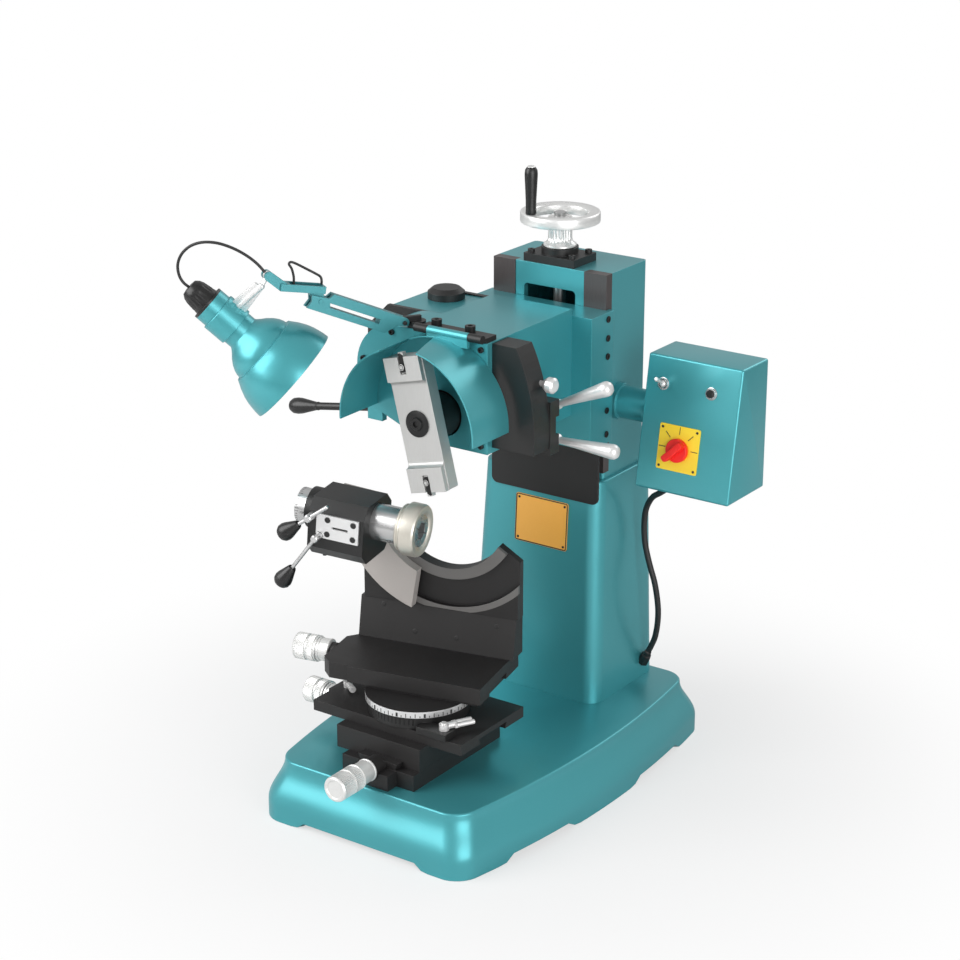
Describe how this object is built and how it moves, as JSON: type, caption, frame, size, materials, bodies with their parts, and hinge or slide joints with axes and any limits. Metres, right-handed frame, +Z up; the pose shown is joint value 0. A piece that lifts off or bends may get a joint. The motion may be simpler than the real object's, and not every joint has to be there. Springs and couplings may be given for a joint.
{
  "type": "drill bit sharpener",
  "caption": "Bench cutter-sharpening and fly-cutting machine: column, sliding head with fly bar, guard and lamp, and a compound table with a tilting work head",
  "frame": {"origin": "centre of the bench bolt pattern, on the floor plane under the base", "axes": "+Z up, operator on the -Y side, column on the +Y side, control box on the +X side"},
  "size_m": [0.6262, 0.6694, 0.8814],
  "materials": {
    "teal_enamel": "semi-gloss teal enamel on cast iron",
    "black_enamel": "semi-gloss black enamel",
    "dark_cast": "machined and blackened cast iron",
    "ground_way": "scraped dark way",
    "gold_plate": "bare brass-coloured plate",
    "cable_rubber": "black rubber lead",
    "belt_rubber": "flat black belt",
    "bright_wheel": "polished handwheel",
    "steel_screw": "turned steel",
    "steel_spindle": "ground steel",
    "ground_bar": "ground steel",
    "graduated_steel": "satin ring with dark divisions",
    "knurled_steel": "knurled and plated knob",
    "chrome": "polished chrome",
    "arm_enamel": "teal enamel on flat steel bar",
    "black_plastic": "moulded black plastic",
    "black_screws": "blackened steel",
    "ground_cradle": "dark cradle with machined arc",
    "ground_sector": "ground grey iron",
    "nickel_nut": "warm plated steel",
    "red_plastic": "moulded red plastic"
  },
  "bodies": {
    "frame": {"base_casting": "teal_enamel", "pedestal": "teal_enamel", "column": "teal_enamel", "column_ways": "ground_way", "bearing_flange": "black_enamel", "name_plate": "gold_plate", "control_tube": "teal_enamel", "control_box": "teal_enamel", "control_cable": "cable_rubber", "y_bed": "dark_cast"},
    "elevating_wheel": {"handwheel": "bright_wheel", "lead_screw": "steel_screw"},
    "wheel_grip": {"wheel_grip": "black_plastic"},
    "head": {"saddle": "teal_enamel", "head_body": "teal_enamel", "head_screws": "black_screws", "belt_cover": "teal_enamel", "motor_housing": "teal_enamel", "motor_ends": "black_enamel", "guard_hinge": "black_enamel", "side_quadrant": "black_enamel", "apron": "black_enamel", "drive_belt": "belt_rubber"},
    "cutter": {"spindle": "steel_spindle", "fly_bar": "ground_bar"},
    "motor_rotor": {"motor_rotor": "steel_spindle"},
    "guard": {"guard_hood": "teal_enamel"},
    "feed_lever": {"feed_lever": "black_plastic"},
    "upper_clamp_lever": {"upper_clamp_lever": "chrome"},
    "lower_clamp_lever": {"lower_clamp_lever": "chrome"},
    "plunger_knob": {"plunger_knob": "chrome"},
    "lamp_swivel": {"lamp_base": "black_enamel"},
    "lamp_lower_arm": {"lamp_lower_arm": "arm_enamel"},
    "lamp_upper_arm": {"lamp_upper_arm": "arm_enamel"},
    "lamp_head": {"lamp_bracket": "chrome", "lamp_shade": "teal_enamel", "lamp_socket": "black_plastic", "lamp_cable": "cable_rubber"},
    "y_slide": {"y_carriage": "dark_cast"},
    "y_screw": {"y_screw": "knurled_steel"},
    "x_slide": {"x_plate": "dark_cast", "rotary_base": "black_enamel"},
    "x_screw": {"x_screw": "knurled_steel"},
    "thumb_lever": {"thumb_lever": "chrome"},
    "rotary_lock": {"rotary_lock": "chrome"},
    "rotary": {"rotary_table": "graduated_steel"},
    "upper_slide": {"upper_slide": "dark_cast", "angle_plate": "dark_cast", "cradle": "ground_cradle"},
    "upper_screw": {"upper_screw": "knurled_steel"},
    "work_head": {"sector": "ground_sector", "work_body": "black_enamel", "side_plate": "ground_bar"},
    "work_spindle": {"work_spindle": "steel_spindle", "chuck_nut": "nickel_nut"},
    "index_lever": {"index_lever": "chrome"},
    "work_lever": {"work_lever": "chrome"},
    "selector_knob": {"selector_knob": "red_plastic"},
    "toggle_switch": {"toggle_switch": "chrome"},
    "push_button": {"push_button": "black_plastic"}
  },
  "joints": [
    {"name": "elevating_wheel_turn", "type": "hinge", "parent": "frame", "child": "elevating_wheel", "pos_m": [0, 0.1875, 0.74], "axis": [0, 0, 1], "range_deg": [-3421, 721]},
    {"name": "head_slide", "type": "slide", "parent": "frame", "child": "head", "axis": [0, 0, 1], "range_m": [-0.008, 0.038]},
    {"name": "wheel_grip_spin", "type": "hinge", "parent": "elevating_wheel", "child": "wheel_grip", "pos_m": [-0.02092, 0.14264, 0.84], "axis": [0, 0, 1], "continuous": true},
    {"name": "cutter_spin", "type": "hinge", "parent": "head", "child": "cutter", "pos_m": [0, -0.1, 0.584], "axis": [0, 1, 0], "continuous": true},
    {"name": "motor_spin", "type": "hinge", "parent": "head", "child": "motor_rotor", "pos_m": [-0.105, 0.03, 0.628], "axis": [0, 1, 0], "continuous": true},
    {"name": "guard_lift", "type": "hinge", "parent": "head", "child": "guard", "pos_m": [0.01, -0.113, 0.703], "axis": [-1, 0, 0], "range_deg": [0, 35]},
    {"name": "feed_lever_swing", "type": "hinge", "parent": "head", "child": "feed_lever", "pos_m": [-0.138, -0.057, 0.553], "axis": [0, 1, 0], "range_deg": [-18, 12]},
    {"name": "upper_clamp_swing", "type": "hinge", "parent": "head", "child": "upper_clamp_lever", "pos_m": [0.137, -0.045, 0.601], "axis": [0, -1, 0], "range_deg": [-10, 18]},
    {"name": "lower_clamp_swing", "type": "hinge", "parent": "head", "child": "lower_clamp_lever", "pos_m": [0.137, -0.045, 0.551], "axis": [0, -1, 0], "range_deg": [-18, 8]},
    {"name": "plunger_pull", "type": "slide", "parent": "head", "child": "plunger_knob", "axis": [1, 0, 0], "range_m": [0, 0.006]},
    {"name": "lamp_swivel_turn", "type": "hinge", "parent": "head", "child": "lamp_swivel", "pos_m": [-0.052, -0.091, 0.7], "axis": [0, 0, 1], "range_deg": [-20, 10]},
    {"name": "lamp_lower_arm_lift", "type": "hinge", "parent": "lamp_swivel", "child": "lamp_lower_arm", "pos_m": [-0.06298, -0.10843, 0.705], "axis": [-0.8462, 0.5329, 0], "range_deg": [-3, 18]},
    {"name": "lamp_upper_arm_lift", "type": "hinge", "parent": "lamp_lower_arm", "child": "lamp_upper_arm", "pos_m": [-0.12715, -0.21034, 0.74836], "axis": [-0.8462, 0.5329, 0], "range_deg": [-10, 20]},
    {"name": "lamp_head_nod", "type": "hinge", "parent": "lamp_upper_arm", "child": "lamp_head", "pos_m": [-0.16486, -0.27021, 0.7902], "axis": [-0.8462, 0.5329, 0], "range_deg": [-10, 18]},
    {"name": "y_screw_turn", "type": "hinge", "parent": "frame", "child": "y_screw", "pos_m": [0, -0.3, 0.1135], "axis": [0, 1, 0], "range_deg": [-3061, 1081]},
    {"name": "y_slide_feed", "type": "slide", "parent": "frame", "child": "y_slide", "axis": [0, 1, 0], "range_m": [-0.012, 0.034]},
    {"name": "x_slide_feed", "type": "slide", "parent": "y_slide", "child": "x_slide", "axis": [1, 0, 0], "range_m": [-0.022, 0.022]},
    {"name": "x_screw_turn", "type": "hinge", "parent": "x_slide", "child": "x_screw", "pos_m": [-0.16, -0.154, 0.133], "axis": [1, 0, 0], "range_deg": [-1981, 1981]},
    {"name": "thumb_lever_swing", "type": "hinge", "parent": "x_slide", "child": "thumb_lever", "pos_m": [-0.124, -0.168, 0.165], "axis": [0, 0, 1], "range_deg": [-20, 20]},
    {"name": "rotary_lock_swing", "type": "hinge", "parent": "x_slide", "child": "rotary_lock", "pos_m": [0.084, -0.22, 0.1772], "axis": [0, 0, 1], "range_deg": [-24, 12]},
    {"name": "rotary_turn", "type": "hinge", "parent": "x_slide", "child": "rotary", "pos_m": [0, -0.164, 0.18], "axis": [0, 0, 1], "range_deg": [-45, 30]},
    {"name": "upper_slide_feed", "type": "slide", "parent": "rotary", "child": "upper_slide", "axis": [0.9767, 0.2147, 0], "range_m": [-0.018, 0.018]},
    {"name": "upper_screw_turn", "type": "hinge", "parent": "upper_slide", "child": "upper_screw", "pos_m": [-0.16486, -0.15929, 0.206], "axis": [0.9767, 0.2147, 0], "range_deg": [-1621, 1621]},
    {"name": "work_head_tilt", "type": "hinge", "parent": "upper_slide", "child": "work_head", "pos_m": [-0.01444, -0.07503, 0.43], "axis": [0.2147, -0.9767, 0], "range_deg": [-5, 42]},
    {"name": "work_spindle_turn", "type": "hinge", "parent": "work_head", "child": "work_spindle", "pos_m": [-0.09253, -0.18435, 0.43715], "axis": [0.9742, 0.2142, -0.0715], "continuous": true},
    {"name": "index_lever_swing", "type": "hinge", "parent": "work_head", "child": "index_lever", "pos_m": [-0.1215, -0.24703, 0.44916], "axis": [0.2147, -0.9767, 0], "range_deg": [-15, 10]},
    {"name": "work_lever_swing", "type": "hinge", "parent": "work_head", "child": "work_lever", "pos_m": [-0.11221, -0.24499, 0.42091], "axis": [0.2147, -0.9767, 0], "range_deg": [-10, 15]},
    {"name": "selector_turn", "type": "hinge", "parent": "frame", "child": "selector_knob", "pos_m": [0.2305, 0.14092, 0.50492], "axis": [0, -0.986, 0.1669], "range_deg": [-45, 90]},
    {"name": "toggle_flip", "type": "hinge", "parent": "frame", "child": "toggle_switch", "pos_m": [0.1945, 0.16087, 0.59283], "axis": [1, 0, 0], "range_deg": [-18, 18]},
    {"name": "button_press", "type": "slide", "parent": "frame", "child": "push_button", "axis": [0, 0.986, -0.1669], "range_m": [0, 0.002], "stiffness_N_per_m": 400, "springref_m": -0.0004}
  ],
  "couplings": [
    {"joint": "elevating_wheel_turn", "follows": "head_slide", "rad_per_m": -1570.8},
    {"joint": "motor_spin", "follows": "cutter_spin", "ratio": 1.3333},
    {"joint": "y_screw_turn", "follows": "y_slide_feed", "rad_per_m": -1570.8},
    {"joint": "x_screw_turn", "follows": "x_slide_feed", "rad_per_m": 1570.8},
    {"joint": "upper_screw_turn", "follows": "upper_slide_feed", "rad_per_m": 1570.8}
  ]
}
